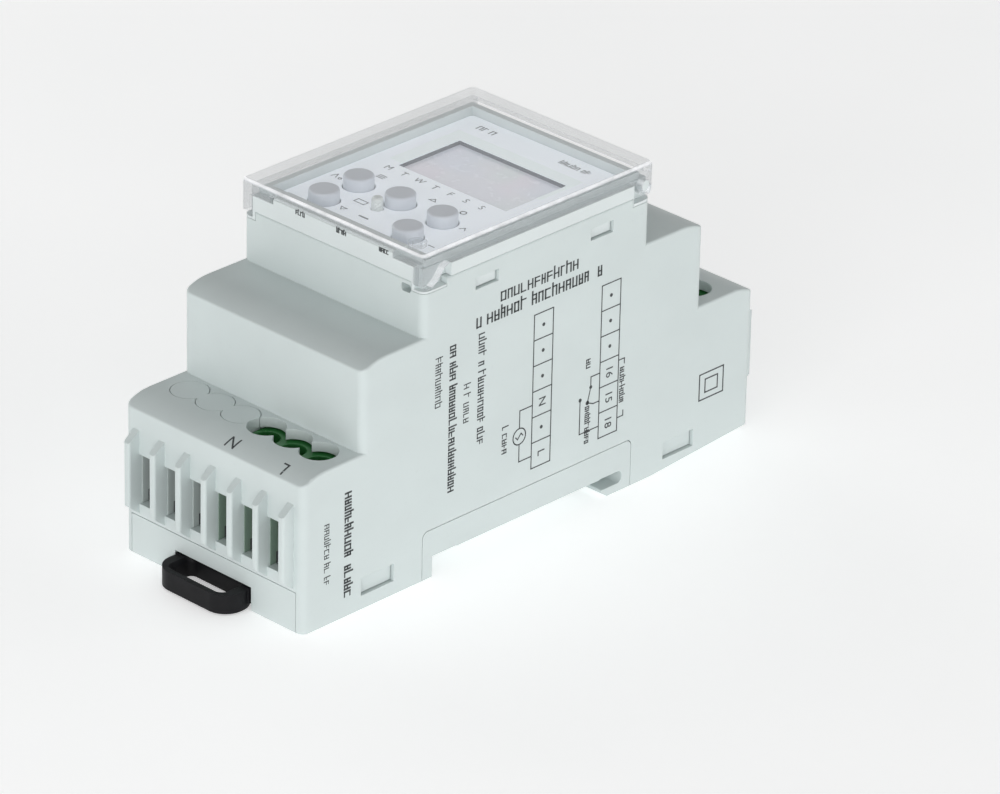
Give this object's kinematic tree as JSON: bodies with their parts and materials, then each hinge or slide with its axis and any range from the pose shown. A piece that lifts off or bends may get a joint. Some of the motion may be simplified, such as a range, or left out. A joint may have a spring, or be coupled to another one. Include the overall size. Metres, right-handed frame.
{
  "type": "din rail timer",
  "caption": "Two-module digital time switch for a 35 mm rail, with a hinged clear cover, display, keys, rail clip and stepped screw terminals.",
  "frame": {"origin": "middle of the rail seat: on the width's and the 35 mm rail's centre lines, where the rail's lips touch the base", "axes": "+X across the width, +Y towards the fixed hook (upper end when mounted), +Z out of the panel towards the display"},
  "size_m": [0.0356, 0.0966, 0.0501],
  "materials": {
    "housing_plastic": "fine spark-eroded texture",
    "fascia_plastic": "fine texture",
    "label_film": "satin printed film",
    "clear_plastic": "polished clear polycarbonate",
    "clear_lens": "clear lens",
    "black_plastic": "fine texture",
    "white_plastic": "plain",
    "key_plastic": "satin",
    "spring_steel": "drawn wire",
    "plated_steel": "zinc plated",
    "contact_copper": "tinned copper alloy",
    "display_glass": "display glass with film",
    "strip_rubber": "conductive strip",
    "board_green": "solder mask",
    "terminal_green": "moulded",
    "capacitor_red": "boxed film",
    "sleeve_black": "shrink sleeve",
    "varistor_blue": "epoxy dip",
    "resistor_body": "lacquer",
    "relay_blue": "moulded case",
    "coil_copper": "enamelled winding"
  },
  "bodies": {
    "root": {"backup_battery": "plated_steel", "base": "housing_plastic", "board_headers": "black_plastic", "clip_spring": "spring_steel", "clock_crystal": "plated_steel", "contact_strips": "strip_rubber", "display_board": "board_green", "display_label": "label_film", "front_blanking_plug": "housing_plastic", "front_contact_bars": "contact_copper", "front_fascia": "fascia_plastic", "front_terminal_block": "terminal_green", "housing": "housing_plastic", "input_resistor": "resistor_body", "lcd_backlight": "white_plastic", "lcd_glass": "display_glass", "lcd_holder": "white_plastic", "mains_capacitor": "capacitor_red", "microcontroller": "black_plastic", "power_board": "board_green", "rear_blanking_plug": "housing_plastic", "rear_contact_bars": "contact_copper", "rear_terminal_block": "terminal_green", "relay_base": "black_plastic", "relay_case": "relay_blue", "relay_coil": "coil_copper", "relay_fixed_contacts": "contact_copper", "relay_yoke": "plated_steel", "status_led": "clear_lens", "storage_capacitors": "sleeve_black", "tactile_switches": "black_plastic", "varistor": "varistor_blue"},
    "clear_cover": {"clear_cover": "clear_plastic"},
    "rail_clip": {"rail_clip": "black_plastic"},
    "armature": {"relay_armature": "plated_steel", "relay_moving_contact": "contact_copper"},
    "menu_key": {"menu_button": "key_plastic", "menu_switch_plunger": "black_plastic"},
    "up_key": {"up_button": "key_plastic", "up_switch_plunger": "black_plastic"},
    "enter_key": {"enter_button": "key_plastic", "enter_switch_plunger": "black_plastic"},
    "down_key": {"down_button": "key_plastic", "down_switch_plunger": "black_plastic"},
    "manual_key": {"manual_button": "key_plastic", "manual_switch_plunger": "black_plastic"},
    "screw_n": {"terminal_screw_n": "plated_steel"},
    "cage_n": {"clamp_cage_n": "plated_steel"},
    "screw_spare": {"terminal_screw_spare": "plated_steel"},
    "cage_spare": {"clamp_cage_spare": "plated_steel"},
    "screw_l": {"terminal_screw_l": "plated_steel"},
    "cage_l": {"clamp_cage_l": "plated_steel"},
    "screw_16": {"terminal_screw_16": "plated_steel"},
    "cage_16": {"clamp_cage_16": "plated_steel"},
    "screw_15": {"terminal_screw_15": "plated_steel"},
    "cage_15": {"clamp_cage_15": "plated_steel"},
    "screw_18": {"terminal_screw_18": "plated_steel"},
    "cage_18": {"clamp_cage_18": "plated_steel"}
  },
  "joints": [
    {"name": "cover_hinge", "type": "hinge", "parent": "root", "child": "clear_cover", "pos_m": [0, 0.0213, 0.0435], "axis": [-1, 0, 0], "range_deg": [0, 105]},
    {"name": "clip_slide", "type": "slide", "parent": "root", "child": "rail_clip", "axis": [0, -1, 0], "range_m": [0, 0.0034], "stiffness_N_per_m": 600, "springref_m": -0.004, "deforming": ["clip_spring"]},
    {"name": "armature_rock", "type": "hinge", "parent": "root", "child": "armature", "pos_m": [-0.0082, -0.012, 0.0187], "axis": [-1, 0, 0], "range_deg": [0, 3], "stiffness_Nm_per_rad": 0.002, "springref_deg": -17.19},
    {"name": "menu_press", "type": "slide", "parent": "root", "child": "menu_key", "axis": [0, 0, -1], "range_m": [0, 0.0005], "stiffness_N_per_m": 150, "springref_m": -0.003},
    {"name": "up_press", "type": "slide", "parent": "root", "child": "up_key", "axis": [0, 0, -1], "range_m": [0, 0.0005], "stiffness_N_per_m": 150, "springref_m": -0.003},
    {"name": "enter_press", "type": "slide", "parent": "root", "child": "enter_key", "axis": [0, 0, -1], "range_m": [0, 0.0005], "stiffness_N_per_m": 150, "springref_m": -0.003},
    {"name": "down_press", "type": "slide", "parent": "root", "child": "down_key", "axis": [0, 0, -1], "range_m": [0, 0.0005], "stiffness_N_per_m": 150, "springref_m": -0.003},
    {"name": "manual_press", "type": "slide", "parent": "root", "child": "manual_key", "axis": [0, 0, -1], "range_m": [0, 0.0005], "stiffness_N_per_m": 150, "springref_m": -0.003},
    {"name": "screw_n_turn", "type": "hinge", "parent": "root", "child": "screw_n", "pos_m": [0.00255, -0.0373, 0.0125], "axis": [0, 0, -1], "range_deg": [0, 1440.1]},
    {"name": "cage_n_lift", "type": "slide", "parent": "root", "child": "cage_n", "axis": [0, 0, 1], "range_m": [0, 0.002]},
    {"name": "screw_spare_turn", "type": "hinge", "parent": "root", "child": "screw_spare", "pos_m": [0.00765, -0.0373, 0.0125], "axis": [0, 0, -1], "range_deg": [0, 1440.1]},
    {"name": "cage_spare_lift", "type": "slide", "parent": "root", "child": "cage_spare", "axis": [0, 0, 1], "range_m": [0, 0.002]},
    {"name": "screw_l_turn", "type": "hinge", "parent": "root", "child": "screw_l", "pos_m": [0.01275, -0.0373, 0.0125], "axis": [0, 0, -1], "range_deg": [0, 1440.1]},
    {"name": "cage_l_lift", "type": "slide", "parent": "root", "child": "cage_l", "axis": [0, 0, 1], "range_m": [0, 0.002]},
    {"name": "screw_16_turn", "type": "hinge", "parent": "root", "child": "screw_16", "pos_m": [0.00255, 0.0373, 0.0125], "axis": [0, 0, -1], "range_deg": [0, 1440.1]},
    {"name": "cage_16_lift", "type": "slide", "parent": "root", "child": "cage_16", "axis": [0, 0, 1], "range_m": [0, 0.002]},
    {"name": "screw_15_turn", "type": "hinge", "parent": "root", "child": "screw_15", "pos_m": [0.00765, 0.0373, 0.0125], "axis": [0, 0, -1], "range_deg": [0, 1440.1]},
    {"name": "cage_15_lift", "type": "slide", "parent": "root", "child": "cage_15", "axis": [0, 0, 1], "range_m": [0, 0.002]},
    {"name": "screw_18_turn", "type": "hinge", "parent": "root", "child": "screw_18", "pos_m": [0.01275, 0.0373, 0.0125], "axis": [0, 0, -1], "range_deg": [0, 1440.1]},
    {"name": "cage_18_lift", "type": "slide", "parent": "root", "child": "cage_18", "axis": [0, 0, 1], "range_m": [0, 0.002]}
  ],
  "couplings": [
    {"joint": "screw_n_turn", "follows": "cage_n_lift", "rad_per_m": 12566},
    {"joint": "screw_spare_turn", "follows": "cage_spare_lift", "rad_per_m": 12566},
    {"joint": "screw_l_turn", "follows": "cage_l_lift", "rad_per_m": 12566},
    {"joint": "screw_16_turn", "follows": "cage_16_lift", "rad_per_m": 12566},
    {"joint": "screw_15_turn", "follows": "cage_15_lift", "rad_per_m": 12566},
    {"joint": "screw_18_turn", "follows": "cage_18_lift", "rad_per_m": 12566}
  ]
}
